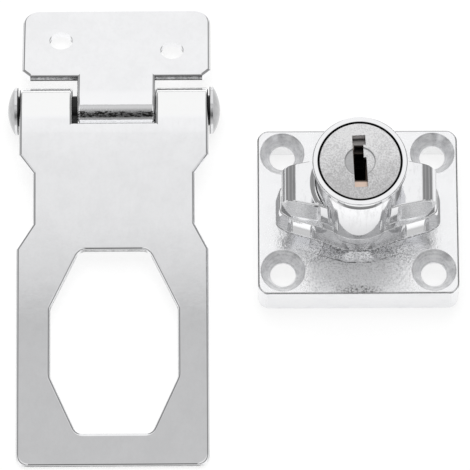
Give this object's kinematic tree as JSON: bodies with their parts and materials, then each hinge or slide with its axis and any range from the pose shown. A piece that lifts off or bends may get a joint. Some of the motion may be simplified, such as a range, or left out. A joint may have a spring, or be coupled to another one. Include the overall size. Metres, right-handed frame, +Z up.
{
  "type": "keyed hasp lock",
  "caption": "Hinged hasp with an octagonal slot and a key-operated turn-knob lock on a square screw-on base, laid side by side.",
  "frame": {"origin": "under the middle of the set, on the surface that both pieces lie on", "axes": "+X from the hasp to the lock, +Y from the strap's tip to the hinge leaf, +Z up, out of the keyway"},
  "size_m": [0.09, 0.098, 0.0347],
  "materials": {
    "plated_steel": "bright chrome plate on pressed steel",
    "plated_casting": "bright chrome plate on a zinc casting, slightly wavy",
    "satin_face": "satin, fine grain",
    "wafer_brass": "bare",
    "inner_steel": "zinc plated"
  },
  "bodies": {
    "root": {"lock_base": "plated_casting", "hinge_leaf": "plated_steel"},
    "knob": {"turn_knob": "plated_casting", "spring_washer": "inner_steel", "stop_washer": "inner_steel", "retaining_washer": "inner_steel", "retaining_screw": "inner_steel"},
    "plug": {"key_plug": "satin_face", "retaining_wafer": "wafer_brass", "retaining_spring": "inner_steel", "wafer_spring_1": "inner_steel", "wafer_spring_2": "inner_steel", "wafer_spring_3": "inner_steel", "wafer_spring_4": "inner_steel", "wafer_spring_5": "inner_steel"},
    "bolt": {"locking_bolt": "inner_steel"},
    "strap": {"hasp_strap": "plated_steel", "hinge_pin": "plated_steel"},
    "wafer_1": {"wafer_1": "wafer_brass"},
    "wafer_2": {"wafer_2": "wafer_brass"},
    "wafer_3": {"wafer_3": "wafer_brass"},
    "wafer_4": {"wafer_4": "wafer_brass"},
    "wafer_5": {"wafer_5": "wafer_brass"}
  },
  "joints": [
    {"name": "strap_hinge", "type": "hinge", "parent": "root", "child": "strap", "pos_m": [-0.0237, 0.02554, 0.00475], "axis": [1, 0.0021, 0], "range_deg": [-94, 165]},
    {"name": "knob_turn", "type": "hinge", "parent": "root", "child": "knob", "pos_m": [0.025, 0.00219, 0], "axis": [0, 0, 1], "range_deg": [0, 90]},
    {"name": "plug_turn", "type": "hinge", "parent": "knob", "child": "plug", "pos_m": [0.025, 0.00219, 0], "axis": [0, 0, 1], "range_deg": [0, 90]},
    {"name": "bolt_slide", "type": "slide", "parent": "knob", "child": "bolt", "axis": [1, 0, 0], "range_m": [0, 0.0015]},
    {"name": "wafer_1_slide", "type": "slide", "parent": "plug", "child": "wafer_1", "axis": [0, 1, 0], "range_m": [0, 0.0005]},
    {"name": "wafer_2_slide", "type": "slide", "parent": "plug", "child": "wafer_2", "axis": [0, 1, 0], "range_m": [0, 0.0005]},
    {"name": "wafer_3_slide", "type": "slide", "parent": "plug", "child": "wafer_3", "axis": [0, 1, 0], "range_m": [0, 0.0005]},
    {"name": "wafer_4_slide", "type": "slide", "parent": "plug", "child": "wafer_4", "axis": [0, 1, 0], "range_m": [0, 0.0005]},
    {"name": "wafer_5_slide", "type": "slide", "parent": "plug", "child": "wafer_5", "axis": [0, 1, 0], "range_m": [0, 0.0005]}
  ],
  "couplings": [
    {"joint": "bolt_slide", "follows": "plug_turn", "m_per_rad": 0.00095492},
    {"joint": "wafer_2_slide", "follows": "wafer_1_slide", "ratio": 1},
    {"joint": "wafer_3_slide", "follows": "wafer_1_slide", "ratio": 1},
    {"joint": "wafer_4_slide", "follows": "wafer_1_slide", "ratio": 1},
    {"joint": "wafer_5_slide", "follows": "wafer_1_slide", "ratio": 1}
  ]
}
